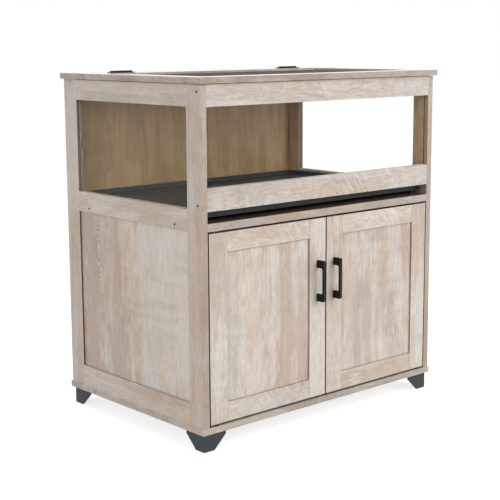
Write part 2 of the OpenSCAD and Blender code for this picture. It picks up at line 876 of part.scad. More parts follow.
// Bracket foot, drawn from its outer corner: two tapering wings under a flange
module foot() {
    wing = [[0, 0], [foot_tip_w, 0], [foot_w, foot_h - foot_shoulder_h], [foot_w, foot_h], [0, foot_h]];
    black_metal() difference() {
        union() {
            translate([0, foot_wall, 0]) rotate([90, 0, 0]) linear_extrude(foot_wall) polygon(wing);
            rotate([90, 0, 90]) linear_extrude(foot_wall) polygon(wing);
            translate([0, 0, foot_h - foot_flange_t]) linear_extrude(foot_flange_t)
                polygon([[0, 0], [foot_w, 0], [foot_w, foot_flange_w],
                    [foot_flange_w, foot_w], [0, foot_w]]);
        }
        for (at = foot_screws_at)
            rod_z([at[0], at[1], foot_h - foot_flange_t - past], screw_r + hole_clear,
                foot_flange_t + 2 * past);
    }
}
module at_foot(x_side, y_side) {
    translate([x_side * x_foot, y_side < 0 ? y_foot_front : y_foot_back, 0])
        mirror([x_side > 0 ? 1 : 0, 0, 0]) mirror([0, y_side > 0 ? 1 : 0, 0]) children();
}
module front_left_foot() at_foot(-1, -1) foot();
module front_right_foot() at_foot(1, -1) foot();
module rear_left_foot() at_foot(-1, 1) foot();
module rear_right_foot() at_foot(1, 1) foot();

module foot_screw_rods(clear = 0, room = 0) {
    for (x_side = [-1, 1], y_side = [-1, 1])
        at_foot(x_side, y_side) for (at = foot_screws_at)
            rod_z([at[0], at[1], foot_h - foot_flange_t], screw_r + clear,
                foot_flange_t + foot_screw_grip + room);
}
module foot_screws() {
    steel() {
        foot_screw_rods();
        for (x_side = [-1, 1], y_side = [-1, 1])
            at_foot(x_side, y_side) for (at = foot_screws_at)
                rod_z([at[0], at[1], foot_h - foot_flange_t - round_head_h], round_head_r, round_head_h);
    }
}

base_board();
left_front_stile();
left_rear_stile();
left_head_rail();
left_middle_rail();
left_bottom_rail();
left_lower_panel();
right_front_stile();
right_rear_stile();
right_head_rail();
right_middle_rail();
right_bottom_rail();
right_lower_panel();
front_head_rail();
front_sill_rail();
divider_board();
habitat_back_panel();
cabinet_back_panel();
rear_top_board();
front_window();
left_window();
right_window();
tray();
left_tray_runner();
right_tray_runner();
lid_front_rail();
lid_rear_rail();
lid_left_rail();
lid_right_rail();
lid_mesh();
lid_bumpers();
lid_hinge_fixed_leaves();
lid_hinge_lid_leaves();
lid_hinge_pins();
fixed_leaf_screws();
lid_leaf_screws();
left_door_stiles();
left_door_rails();
left_door_panel();
left_door_pivots();
left_strike_plate();
left_handle();
left_handle_screws();
right_door_stiles();
right_door_rails();
right_door_panel();
right_door_pivots();
right_strike_plate();
right_handle();
right_handle_screws();
pivot_bushes();
door_catches();
front_left_foot();
front_right_foot();
rear_left_foot();
rear_right_foot();
foot_screws();
frame_dowels();
assembly_screws();
back_panel_screws();
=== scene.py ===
import bmesh
import bpy
import math
from mathutils import Matrix, Vector


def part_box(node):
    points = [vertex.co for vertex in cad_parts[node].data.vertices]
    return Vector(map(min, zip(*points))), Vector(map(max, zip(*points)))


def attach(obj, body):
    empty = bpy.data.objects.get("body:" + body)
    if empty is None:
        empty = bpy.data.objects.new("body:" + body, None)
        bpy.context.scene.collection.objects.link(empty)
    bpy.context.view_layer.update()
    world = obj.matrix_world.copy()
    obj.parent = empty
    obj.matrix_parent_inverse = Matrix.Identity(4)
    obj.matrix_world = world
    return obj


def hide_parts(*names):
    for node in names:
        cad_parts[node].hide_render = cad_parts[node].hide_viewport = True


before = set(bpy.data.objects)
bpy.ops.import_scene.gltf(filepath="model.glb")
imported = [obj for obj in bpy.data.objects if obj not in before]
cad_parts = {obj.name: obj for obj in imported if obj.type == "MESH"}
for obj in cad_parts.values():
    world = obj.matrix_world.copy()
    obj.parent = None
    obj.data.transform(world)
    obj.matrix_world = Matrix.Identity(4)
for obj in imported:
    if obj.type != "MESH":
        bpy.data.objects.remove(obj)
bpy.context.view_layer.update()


# Base board: chipboard with a printed grey oak foil, each edge banded with a
# narrower, browner strip of the same print. It lies flat, stands a little proud
# of the case and is screwed up into the two side frames from below.
def add(tree, kind, inputs=None, **settings):
    """Adds a node. An input is given by its name or number, as a value or as a socket to link."""
    made = tree.nodes.new(kind)
    for name, value in settings.items():
        setattr(made, name, value)
    for name, value in (inputs or {}).items():
        if isinstance(value, bpy.types.NodeSocket):
            tree.links.new(value, made.inputs[name])
        else:
            made.inputs[name].default_value = value
    return made


def maths(tree, operation, *values, clamp=False):
    made = add(tree, "ShaderNodeMath", dict(enumerate(values)), operation=operation)
    made.use_clamp = clamp
    return made.outputs[0]


def vector_maths(tree, operation, *values):
    made = add(tree, "ShaderNodeVectorMath", dict(enumerate(values)), operation=operation)
    return made.outputs["Value" if operation in ("LENGTH", "DOT_PRODUCT") else "Vector"]


def noise(tree, place, stretch, detail=2.0, roughness=0.5):
    """Soft noise from 0 to 1; stretch is how many of its waves a metre holds along X, Y and Z."""
    scaled = vector_maths(tree, "MULTIPLY", place, stretch)
    inputs = {"Vector": scaled, "Scale": 1.0, "Detail": detail, "Roughness": roughness}
    return add(tree, "ShaderNodeTexNoise", inputs).outputs["Fac"]


def fade(tree, value, start, end, low=0.0, high=1.0):
    """Goes smoothly from low to high while the value goes from start to end."""
    inputs = {"Value": value, "From Min": start, "From Max": end, "To Min": low, "To Max": high}
    made = add(tree, "ShaderNodeMapRange", inputs, interpolation_type="SMOOTHSTEP")
    return made.outputs["Result"]


def blend(tree, share, first, second, how="MIX"):
    inputs = {0: share, 6: first, 7: second}
    return add(tree, "ShaderNodeMix", inputs, data_type="RGBA", blend_type=how).outputs[2]


def srgb(red, green, blue):
    """A colour given in the 0 to 255 values of a picture, as the shader's linear one."""
    levels = [value / 255 for value in (red, green, blue)]
    return [v / 12.92 if v < 0.04045 else ((v + 0.055) / 1.055) ** 2.4 for v in levels] + [1.0]


BROWNER = (0.99, 0.915, 0.83, 1)
GREYER = (0.97, 0.995, 1.03, 1)
WHITE_WASH = srgb(222, 217, 211)
DARK_GRAIN = srgb(146, 126, 108)
PALE_SAWN = srgb(232, 227, 220)
RINGS_IN_FIGURE = 26.0
SAW_SLANT = math.radians(38)


def grey_oak_print():
    """The printed foil. Its Z runs along the grain, X and Y across it."""
    tree = bpy.data.node_groups.new("grey_oak_print", "ShaderNodeTree")
    sockets = {
        "Place": ("NodeSocketVector", (0, 0, 0)),
        "Normal": ("NodeSocketVector", (0, 0, 1)),
        "Face": ("NodeSocketVector", (0, 0, 1)),
        "Edge": ("NodeSocketColor", (1, 1, 1, 1)),
        "Tint": ("NodeSocketColor", (1, 1, 1, 1)),
        "Inner": ("NodeSocketVector", (0, 0, 0)),
        "Inner tint": ("NodeSocketColor", (1, 1, 1, 1)),
        "Contrast": ("NodeSocketFloat", 1.0),
        "Lines": ("NodeSocketFloat", 1.0),
        "Pale from": ("NodeSocketVector", (0, 0, 0)),
        "Pale side": ("NodeSocketVector", (0, 0, 0)),
        "Pale depth": ("NodeSocketFloat", 0.0),
        "Figure": ("NodeSocketFloat", 1.0),
        "Swirl": ("NodeSocketFloat", 0.0),
        "Ripple": ("NodeSocketFloat", 1.0),
        "Saw marks": ("NodeSocketFloat", 0.0),
        "Knot": ("NodeSocketVector", (9, 9, 9)),
    }
    for name, (kind, value) in sockets.items():
        tree.interface.new_socket(name, in_out="INPUT", socket_type=kind).default_value = value
    for name, kind in (("Color", "Color"), ("Roughness", "Float"), ("Height", "Float")):
        tree.interface.new_socket(name, in_out="OUTPUT", socket_type="NodeSocket" + kind)
    given = tree.nodes.new("NodeGroupInput").outputs
    place = given["Place"]

    # the grain wanders a little, and bends round a knot
    from_knot = vector_maths(tree, "SUBTRACT", place, given["Knot"])
    reach = vector_maths(tree, "LENGTH", vector_maths(tree, "MULTIPLY", from_knot, (1, 1, 0.5)))
    knot = fade(tree, reach, 0.0, 0.075, 1.0, 0.0)
    wander = maths(tree, "SUBTRACT", noise(tree, place, (2.6, 2.6, 1.3)), 0.5)
    small_wander = maths(tree, "SUBTRACT", noise(tree, place, (13, 13, 8)), 0.5)
    sideways = maths(tree, "MULTIPLY_ADD", wander, 0.07, maths(tree, "MULTIPLY", small_wander, 0.010))
    shift = add(tree, "ShaderNodeCombineXYZ", {"X": sideways, "Y": sideways}).outputs[0]
    bend = add(tree, "ShaderNodeVectorMath",
        {0: vector_maths(tree, "MULTIPLY", from_knot, (-0.6, -0.6, 0)), "Scale": knot}, operation="SCALE")
    grain = vector_maths(tree, "ADD", vector_maths(tree, "ADD", place, shift), bend.outputs[0])

    # tone: broad drifts, narrow planks with clear borders, clouds and brushed streaks
    brushed = noise(tree, grain, (130, 130, 18), 3.0, 0.6)
    planks = noise(tree, grain, (20, 20, 1.8), 2.0, 0.6)
    tone = maths(tree, "MULTIPLY_ADD", brushed, 0.12, 0.11)
    for share, of_this in (
            (0.26, noise(tree, place, (6, 6, 3.0))),
            (0.12, fade(tree, planks, 0.45, 0.55)),
            (0.28, noise(tree, place, (34, 34, 24), 3.0, 0.6))):
        tone = maths(tree, "MULTIPLY_ADD", of_this, share, tone)
    tone = maths(tree, "MULTIPLY_ADD", maths(tree, "SUBTRACT", tone, 0.5), given["Contrast"], 0.5)
    past = vector_maths(tree, "SUBTRACT", grain, given["Pale from"])
    past = fade(tree, vector_maths(tree, "DOT_PRODUCT", past, given["Pale side"]), 0.0, 1.0)
    past = maths(tree, "SUBTRACT", past, 0.5)
    tone = maths(tree, "MULTIPLY_ADD", past, given["Pale depth"], tone)
    ramp = add(tree, "ShaderNodeValToRGB", {0: fade(tree, tone, 0.38, 0.62)})
    ramp.color_ramp.elements[0].color = srgb(193, 178, 164)
    ramp.color_ramp.elements[1].color = srgb(220, 213, 205)
    ramp.color_ramp.elements.new(0.35).color = srgb(205, 194, 182)
    ramp.color_ramp.elements.new(0.65).color = srgb(211, 202, 192)
    colour = ramp.outputs[0]

    # browner and greyer stretches, and a white wash left in patches
    warmth = noise(tree, vector_maths(tree, "ADD", grain, (3.1, 1.7, 0.4)), (14, 14, 2.2))
    colour = blend(tree, fade(tree, warmth, 0.50, 0.60, 0.0, 0.7), colour, BROWNER, "MULTIPLY")
    colour = blend(tree, fade(tree, warmth, 0.48, 0.40, 0.0, 0.9), colour, GREYER, "MULTIPLY")
    wash = noise(tree, vector_maths(tree, "ADD", place, (5.3, 2.9, 1.1)), (9, 9, 4.2))
    wash = maths(tree, "MULTIPLY_ADD", brushed, 0.4, maths(tree, "SUBTRACT", wash, 0.2))
    colour = blend(tree, fade(tree, wash, 0.54, 0.66, 0.0, 0.5), colour, WHITE_WASH)

    # cathedral figure: the nested outlines of islands, long ones or a swirl
    length = maths(tree, "MULTIPLY_ADD", given["Swirl"], 4.5, 0.95)
    islands = noise(tree, grain,
        add(tree, "ShaderNodeCombineXYZ", {"X": 4.6, "Y": 4.6, "Z": length}).outputs[0], 1.0, 0.4)
    islands = maths(tree, "MULTIPLY_ADD", knot, 0.30, islands)
    rings = maths(tree, "FRACT", maths(tree, "MULTIPLY", islands, RINGS_IN_FIGURE))
    ring_line = maths(tree, "MULTIPLY", fade(tree, rings, 0.0, 0.2), fade(tree, rings, 0.9, 0.2))
    where = fade(tree, noise(tree, place, (6, 6, 3)), 0.42, 0.60)
    where = maths(tree, "MAXIMUM", where, knot)
    figure = maths(tree, "MULTIPLY", maths(tree, "MULTIPLY", ring_line, where), given["Figure"])
    figure = maths(tree, "MULTIPLY", figure, maths(tree, "MULTIPLY_ADD", knot, 4.0, 1.0))

    # fine fibres, pores, and a few narrow dark streaks along the grain
    fibres = noise(tree, grain, (260, 260, 36), 4.0, 0.75)
    pores = fade(tree, noise(tree, grain, (800, 800, 60), 1.0), 0.58, 0.66)
    streaks = fade(tree, noise(tree, vector_maths(tree, "ADD", grain, (1, 6, 2)), (80, 80, 12)), 0.60, 0.74)
    streaky = fade(tree, noise(tree, vector_maths(tree, "ADD", place, (4, 1, 9)), (8, 8, 4)), 0.48, 0.60)
    streaks = maths(tree, "MULTIPLY", streaks, streaky)

    # soft ripples across the grain, with a thin dark line here and there
    level = vector_maths(tree, "ADD", place, add(tree, "ShaderNodeCombineXYZ", {"Z": sideways}).outputs[0])
    ripple = fade(tree, noise(tree, level, (6, 6, 46), 1.0), 0.40, 0.60)
    rippled = fade(tree, noise(tree, vector_maths(tree, "ADD", place, (7, 5, 3)), (5, 5, 4)), 0.50, 0.62)
    ripple = maths(tree, "MULTIPLY", maths(tree, "MULTIPLY", ripple, rippled), given["Ripple"])
    across = maths(tree, "ABSOLUTE", maths(tree, "SUBTRACT", noise(tree, level, (8, 8, 30)), 0.5))
    cracked = fade(tree, noise(tree, vector_maths(tree, "ADD", place, (2, 9, 5)), (12, 12, 14)), 0.64, 0.70)
    cracked = maths(tree, "MAXIMUM", cracked, maths(tree, "MULTIPLY", knot, 0.7))
    crack = maths(tree, "MULTIPLY", fade(tree, across, 0.014, 0.0), cracked)
    crack = maths(tree, "MULTIPLY", crack, given["Ripple"])

    # strokes that the saw left, slanting across the grain in patches
    sawn = given["Saw marks"]
    slanted = add(tree, "ShaderNodeVectorRotate",
        {"Vector": place, "Angle": SAW_SLANT}, rotation_type="Y_AXIS").outputs[0]
    strokes = noise(tree, slanted, (14, 14, 150), 2.0, 0.6)
    patches = fade(tree, noise(tree, vector_maths(tree, "ADD", place, (2, 8, 6)), (7, 7, 5)), 0.44, 0.60)
    sawn = maths(tree, "MULTIPLY", patches, sawn)

    dark = maths(tree, "MULTIPLY", figure, 0.13)
    for share, of_this in (
            (1.0, fade(tree, fibres, 0.62, 0.34, 0.0, 0.26)),
            (0.20, pores), (0.24, streaks), (0.12, ripple), (0.28, crack),
            (0.22, maths(tree, "MULTIPLY", fade(tree, strokes, 0.48, 0.36), sawn))):
        dark = maths(tree, "MULTIPLY_ADD", of_this, share, dark)
    dark = maths(tree, "MULTIPLY", dark, given["Lines"], clamp=True)
    colour = blend(tree, dark, colour, DARK_GRAIN)
    pale = maths(tree, "MULTIPLY", fade(tree, strokes, 0.52, 0.66, 0.0, 0.45), sawn)
    colour = blend(tree, pale, colour, PALE_SAWN)
    colour = blend(tree, 1.0, colour, given["Tint"], "MULTIPLY")

    # the inner side, painted darker and browner as shade, and the edges: banded, or painted dark as shade
    inward = vector_maths(tree, "DOT_PRODUCT", given["Normal"], given["Inner"])
    colour = blend(tree, fade(tree, inward, 0.4, 0.6), colour,
        blend(tree, 1.0, colour, given["Inner tint"], "MULTIPLY"))
    facing = maths(tree, "ABSOLUTE", vector_maths(tree, "DOT_PRODUCT", given["Normal"], given["Face"]))
    colour = blend(tree, fade(tree, facing, 0.95, 0.80), colour,
        blend(tree, 1.0, colour, given["Edge"], "MULTIPLY"))

    out = tree.nodes.new("NodeGroupOutput")
    tree.links.new(colour, out.inputs["Color"])
    tree.links.new(fade(tree, fibres, 0.3, 0.7, 0.32, 0.44), out.inputs["Roughness"])
    tree.links.new(maths(tree, "SUBTRACT", fibres, maths(tree, "ADD", pores, crack)), out.inputs["Height"])
    return tree


oak_group = grey_oak_print()
UPRIGHT = (0, 0, 0)
SIDEWAYS = (0, math.radians(90), 0)
FRONT_TO_BACK = (math.radians(-90), 0, 0)
PALE_EDGE = (0.80, 0.77, 0.745, 1)
PORE_DEPTH = 0.0003
COAT_ROUGHNESS = 0.12
COAT_IOR = 1.12


def oak_finish(name, grain, start, face, edge=PALE_EDGE, gloss=0.4, coat=0.0, **look):
    """A board's material: grain is which way it runs, start shifts the print from board to board."""
    made = bpy.data.materials.new(name)
    made.use_nodes = True
    tree = made.node_tree
    shader = tree.nodes["Principled BSDF"]
    at = tree.nodes.new("ShaderNodeTexCoord")
    turned = add(tree, "ShaderNodeMapping",
        {"Vector": at.outputs["Object"], "Location": start, "Rotation": grain})
    printed = add(tree, "ShaderNodeGroup", node_tree=oak_group)
    tree.links.new(turned.outputs[0], printed.inputs["Place"])
    tree.links.new(at.outputs["Normal"], printed.inputs["Normal"])
    printed.inputs["Face"].default_value = face
    printed.inputs["Edge"].default_value = edge
    for socket, value in look.items():
        printed.inputs[socket.replace("_", " ")].default_value = value
    relief = add(tree, "ShaderNodeBump",
        {"Height": printed.outputs["Height"], "Strength": 0.25, "Distance": PORE_DEPTH})
    tree.links.new(printed.outputs["Color"], shader.inputs["Base Color"])
    tree.links.new(printed.outputs["Roughness"], shader.inputs["Roughness"])
    tree.links.new(relief.outputs[0], shader.inputs["Normal"])
    shader.inputs["Specular IOR Level"].default_value = gloss
    shader.inputs["Coat Weight"].default_value = coat
    shader.inputs["Coat Roughness"].default_value = COAT_ROUGHNESS
    shader.inputs["Coat IOR"].default_value = COAT_IOR
    return made


def eased(node, body, finish, ease=0.0006, rounds=2):
    """A CAD solid with its sharp edges softened, standing for that node."""
    shape = bmesh.new()
    shape.from_mesh(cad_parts[node].data)
    bmesh.ops.remove_doubles(shape, verts=shape.verts, dist=1e-6)
    bmesh.ops.dissolve_limit(shape, angle_limit=math.radians(0.5), verts=shape.verts, edges=shape.edges)
    sharp = [edge for edge in shape.edges if edge.calc_face_angle(0) > math.radians(40)]
    bmesh.ops.bevel(shape, geom=sharp, offset=ease, offset_type="OFFSET", segments=rounds,
        profile=0.5, affect="EDGES", clamp_overlap=True)
    mesh = bpy.data.meshes.new(node + "_eased")
    shape.to_mesh(mesh)
    shape.free()
    mesh.shade_smooth()
    mesh.materials.append(finish)
    piece = bpy.data.objects.new(node + "_eased", mesh)
    bpy.context.collection.objects.link(piece)
    piece.modifiers.new("flat_faces", "WEIGHTED_NORMAL").weight = 100
    shown = piece.evaluated_get(bpy.context.evaluated_depsgraph_get())
    piece.data = bpy.data.meshes.new_from_object(shown)
    piece.modifiers.clear()
    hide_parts(node)
    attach(piece, body)
    return piece


LEVEL = (0, 0, 1)
OUTWARD = (1, 0, 0)
FORWARD = (0, 1, 0)
eased("base_board", "cabinet", oak_finish("oak_base", SIDEWAYS, (0.3, 0.1, 0.7), LEVEL))


# Side frames: two stiles and three rails of 18 mm board a side, dowelled so that
# the grain turns at each joint. The front edges are banded pale; the rear ones and
# the walls of the grooves are painted dark as shade. The inner sides are painted
# darker and browner as the habitat's shade, and greyer along the slot of the tray
# as its painted shade.
# painted shade on the rear stiles' edges and on the walls of the grooves
PAINTED_SHADE_EDGE = (0.24, 0.20, 0.17, 1)
RAIL_EDGE = (0.62, 0.57, 0.53, 1)
STILE_TINT = (0.88, 0.845, 0.82, 1)
RAIL_TINT = (0.92, 0.90, 0.89, 1)
# painted shade: the inner sides darker and browner, as the habitat's inside lies in shade
INNER_PAINTED_SHADE = (0.62, 0.50, 0.37, 1)
# painted shade of the slot under the sill, on the inner sides
SLOT_PAINTED_SHADE = (0.50, 0.47, 0.47, 1)
SLOT_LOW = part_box("divider_board")[1].z
SLOT_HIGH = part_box("front_sill_rail")[0].z
SLOT_BLUR = 0.001
GROOVE_FROM = 0.002
GROOVE_FULL = 0.003


def side_board(node, grain, start, inner, edge, **look):
    """A side frame's board. The walls of its grooves and screw holes are painted dark as shade, as the rear
    stiles' edges are.
    """
    finish = oak_finish("oak_" + node, grain, start, OUTWARD, edge=edge, Inner=inner, **look)
    tree = finish.node_tree
    printed = tree.nodes["Group"]
    place = tree.nodes["Texture Coordinate"].outputs["Object"]
    height = add(tree, "ShaderNodeSeparateXYZ", {0: place}).outputs["Z"]
    # along the slot of the tray the inner side takes the slot's painted shade instead
    above = fade(tree, height, SLOT_LOW - SLOT_BLUR, SLOT_LOW)
    along_slot = fade(tree, height, SLOT_HIGH + SLOT_BLUR, SLOT_HIGH, 0.0, above)
    tree.links.new(blend(tree, along_slot, INNER_PAINTED_SHADE, SLOT_PAINTED_SHADE), printed.inputs["Inner tint"])
    low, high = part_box(node)
    apart = vector_maths(tree, "ABSOLUTE", vector_maths(tree, "SUBTRACT", place, (low + high) / 2))
    depth = vector_maths(tree, "SUBTRACT", (high - low) / 2, apart)
    depth = add(tree, "ShaderNodeSeparateXYZ", {0: depth}).outputs
    depth = maths(tree, "MINIMUM", depth["Y"], depth["Z"])
    # the walls of the grooves take the painted shade of the rear edges
    in_groove = fade(tree, depth, GROOVE_FROM, GROOVE_FULL)
    tree.links.new(blend(tree, in_groove, edge, PAINTED_SHADE_EDGE), printed.inputs["Edge"])
    eased(node, "cabinet", finish)


for side, turn, inner in (("left", 0.0, (1, 0, 0)), ("right", 2.6, (-1, 0, 0))):
    for count, part in enumerate(("front_stile", "rear_stile")):
        # the rear stiles' edges are painted dark as shade
        edge = PALE_EDGE if part == "front_stile" else PAINTED_SHADE_EDGE
        side_board(f"{side}_{part}", UPRIGHT, (1.3 + turn, count * 0.9, 0.2), inner, edge,
            Tint=STILE_TINT, Figure=0.5, Ripple=0.3, Contrast=0.55, Lines=0.75)
    for count, part in enumerate(("head_rail", "middle_rail", "bottom_rail")):
        side_board(f"{side}_{part}", FRONT_TO_BACK, (2.1 + turn, 0.4 * count, 1.1), inner, RAIL_EDGE,
            Tint=RAIL_TINT, Figure=0.8, Ripple=0.5, Contrast=0.6, Lines=0.75)


# Lower side panels: thin printed boards in grooves of the side frames, their
# broad strips of pale and brown wood running upright, with one open knot.
PANEL_TINT = (0.95, 0.93, 0.91, 1)
KNOT_OUT = 0.402
KNOT_BACK = 0.160
KNOT_UP = 0.440
PALE_BORDER = 0.12
for side, x_face, start in (("left", -1, (0.0, 0.0, 0.0)), ("right", 1, (4.0, 2.0, 1.0))):
    knot = Vector((x_face * KNOT_OUT, KNOT_BACK, KNOT_UP)) + Vector(start)
    border = Vector((0, PALE_BORDER, 0)) + Vector(start)
    # the inner side takes the same painted shade as the side frames' inner faces
    finish = oak_finish(f"oak_{side}_panel", UPRIGHT, start, OUTWARD, Knot=knot, Contrast=1.1,
        Lines=0.7, Ripple=1.6, Tint=PANEL_TINT, Inner=(-x_face, 0, 0), Inner_tint=INNER_PAINTED_SHADE,
        Pale_side=(0, -5, 0), Pale_from=border, Pale_depth=0.24)
    eased(side + "_lower_panel", "cabinet", finish)


# Front rails over and under the front window: the same board, sawn marks
# showing pale across its print, held between the side frames by screws.
for node, start in (("front_head_rail", (5.0, 0.2, 0.1)), ("front_sill_rail", (5.6, 1.2, 0.9))):
    finish = oak_finish("oak_" + node, SIDEWAYS, start, FORWARD, Saw_marks=1.0, Swirl=1.0,
        Contrast=0.55, Tint=(0.93, 0.93, 0.94, 1))
    eased(node, "cabinet", finish)


# Divider board between the habitat and the cabinet. Its faces, under the tray
# and over the doors, are painted dark brown as the shade of the slot and of the
# gap over the doors; its front edge is banded as pale as the front.
# painted shade of the slot and of the gap over the doors
PAINTED_SHADE_FACE = (0.14, 0.115, 0.10, 1)
BAND_ON_SHADE = (5.3, 6.3, 7.3, 1)  # undoes the dark tint where the front band is
divider_finish = oak_finish("oak_divider", SIDEWAYS, (6.3, 0.8, 0.3), LEVEL, BAND_ON_SHADE,
    Tint=PAINTED_SHADE_FACE, Figure=0.4, Contrast=0.6)
eased("divider_board", "cabinet", divider_finish)


# Assembly screws: black steel with a hexagon socket, driven through the side
# frames into the front rails and the divider board, and up through the base.
def coating(name, colour, roughness, speckle, grain, metallic=0.0, gloss=0.5, height=0.00005):
    """A fine-textured paint or moulded skin: speckle is its spread of tone, grain its waves a metre."""
    made = bpy.data.materials.new(name)
    made.use_nodes = True
    tree = made.node_tree
    shader = tree.nodes["Principled BSDF"]
    place = tree.nodes.new("ShaderNodeTexCoord").outputs["Object"]
    fine = noise(tree, place, (grain, grain, grain))
    broad = noise(tree, place, (25, 25, 25))
    mixed = maths(tree, "ADD", maths(tree, "MULTIPLY", fine, 0.5), maths(tree, "MULTIPLY", broad, 0.5))
    share = fade(tree, mixed, 0.35, 0.65)
    darker = [channel * (1 - speckle) for channel in colour[:3]] + [1.0]
    lighter = [channel * (1 + speckle) for channel in colour[:3]] + [1.0]
    tree.links.new(blend(tree, share, darker, lighter), shader.inputs["Base Color"])
    tree.links.new(fade(tree, mixed, 0.35, 0.65, roughness - 0.06, roughness + 0.06),
        shader.inputs["Roughness"])
    relief = add(tree, "ShaderNodeBump", {"Height": fine, "Strength": 0.3, "Distance": height})
    tree.links.new(relief.outputs[0], shader.inputs["Normal"])
    shader.inputs["Metallic"].default_value = metallic
    shader.inputs["Specular IOR Level"].default_value = gloss
    return made


def grown(name, group, values, points=()):
    """The plain mesh that a geometry node group makes, standing at (place, outward) points if given."""
    mesh = bpy.data.meshes.new(name + "_seed")
    mesh.from_pydata([place for place, outward in points], [], [])
    outwards = mesh.attributes.new("outward", "FLOAT_VECTOR", "POINT")
    for count, (place, outward) in enumerate(points):
        outwards.data[count].vector = outward
    seed = bpy.data.objects.new(name + "_seed", mesh)
    bpy.context.collection.objects.link(seed)
    modifier = seed.modifiers.new("grow", "NODES")
    modifier.node_group = group
    for item in group.interface.items_tree:
        if item.item_type == "SOCKET" and item.in_out == "INPUT" and item.name in values:
            modifier[item.identifier] = values[item.name]
    seed.update_tag()
    shown = seed.evaluated_get(bpy.context.evaluated_depsgraph_get())
    piece = bpy.data.objects.new(name, bpy.data.meshes.new_from_object(shown))
    piece.data.name = name
    bpy.context.collection.objects.link(piece)
    bpy.data.objects.remove(seed)
    return piece


HEAD_BEVEL = 0.35
HEAD_ROUND_SHANK = 0.85
HEXAGON_RADIUS = 0.577
CROSS_ARM = 0.24
CROSS_WIDTH = 1.15
SOCKET_DEPTH = 0.7


def screw_with_socket():
    """A screw at each point, its head's top there: a bevelled head, a shank and a driver socket."""
    tree = bpy.data.node_groups.new("screw_with_socket", "GeometryNodeTree")
    tree.interface.new_socket("Geometry", in_out="INPUT", socket_type="NodeSocketGeometry")
    for name in ("Head radius", "Head height", "Shank radius", "Length", "Socket width", "Socket depth"):
        tree.interface.new_socket(name, in_out="INPUT", socket_type="NodeSocketFloat").default_value = 0.001
    tree.interface.new_socket("Socket is a cross", in_out="INPUT", socket_type="NodeSocketBool")
    tree.interface.new_socket("Finish", in_out="INPUT", socket_type="NodeSocketMaterial")
    tree.interface.new_socket("Geometry", in_out="OUTPUT", socket_type="NodeSocketGeometry")
    given = tree.nodes.new("NodeGroupInput").outputs

    def down(solid, depth):
        drop = add(tree, "ShaderNodeCombineXYZ", {"Z": maths(tree, "MULTIPLY", depth, -1.0)}).outputs[0]
        return add(tree, "GeometryNodeTransform", {"Geometry": solid, "Translation": drop}).outputs[0]

    def cut(solid, tool):
        node = add(tree, "GeometryNodeMeshBoolean", {"Mesh 1": solid, "Mesh 2": tool}, operation="DIFFERENCE")
        return node.outputs["Mesh"]

    bevel = maths(tree, "MULTIPLY", given["Head height"], HEAD_BEVEL)
    top_radius = maths(tree, "SUBTRACT", given["Head radius"], bevel)
    rim = add(tree, "GeometryNodeMeshCone", {"Vertices": 24, "Radius Top": top_radius,
        "Radius Bottom": given["Head radius"], "Depth": bevel}).outputs["Mesh"]
    rim = down(rim, bevel)
    low = maths(tree, "SUBTRACT", given["Head height"], bevel)
    disc = add(tree, "GeometryNodeMeshCylinder",
        {"Vertices": 24, "Radius": given["Head radius"], "Depth": low}).outputs["Mesh"]
    disc = down(disc, maths(tree, "MULTIPLY_ADD", low, 0.5, bevel))
    buried = maths(tree, "MULTIPLY", given["Head height"], HEAD_ROUND_SHANK)
    length = maths(tree, "SUBTRACT", given["Length"], buried)
    shank = add(tree, "GeometryNodeMeshCylinder",
        {"Vertices": 16, "Radius": given["Shank radius"], "Depth": length}).outputs["Mesh"]
    shank = down(shank, maths(tree, "MULTIPLY_ADD", length, 0.5, buried))

    twice = maths(tree, "MULTIPLY", given["Socket depth"], 2.0)
    hexagon = add(tree, "GeometryNodeMeshCylinder", {"Vertices": 6, "Depth": twice,
        "Radius": maths(tree, "MULTIPLY", given["Socket width"], HEXAGON_RADIUS)}).outputs["Mesh"]
    narrow = maths(tree, "MULTIPLY", given["Socket width"], CROSS_ARM)
    cross = add(tree, "GeometryNodeMeshBoolean", operation="UNION")
    for axis, depth in (("X", twice), ("Y", maths(tree, "MULTIPLY", twice, 1.05))):
        size = {"X": narrow, "Y": narrow, "Z": depth}
        size[axis] = given["Socket width"]
        size = add(tree, "ShaderNodeCombineXYZ", size).outputs[0]
        slot = add(tree, "GeometryNodeMeshCube", {"Size": size}).outputs["Mesh"]
        tree.links.new(slot, cross.inputs["Mesh 2"])
    socket = add(tree, "GeometryNodeSwitch", {"Switch": given["Socket is a cross"],
        "False": hexagon, "True": cross.outputs["Mesh"]}, input_type="GEOMETRY").outputs[0]
    screw = tree.nodes.new("GeometryNodeJoinGeometry")
    for shell in (cut(rim, socket), cut(disc, socket), shank):
        tree.links.new(shell, screw.inputs[0])

    outward = add(tree, "GeometryNodeInputNamedAttribute", {"Name": "outward"}, data_type="FLOAT_VECTOR")
    turn = add(tree, "FunctionNodeAlignRotationToVector", {"Vector": outward.outputs["Attribute"]}, axis="Z")
    placed = add(tree, "GeometryNodeInstanceOnPoints",
        {"Points": given["Geometry"], "Instance": screw.outputs[0], "Rotation": turn.outputs[0]})
    real = add(tree, "GeometryNodeRealizeInstances", {0: placed.outputs[0]})
    done = add(tree, "GeometryNodeSetMaterial", {"Geometry": real.outputs[0], "Material": given["Finish"]})
    out = tree.nodes.new("NodeGroupOutput")
    tree.links.new(done.outputs[0], out.inputs[0])
    return tree


screw_group = screw_with_socket()


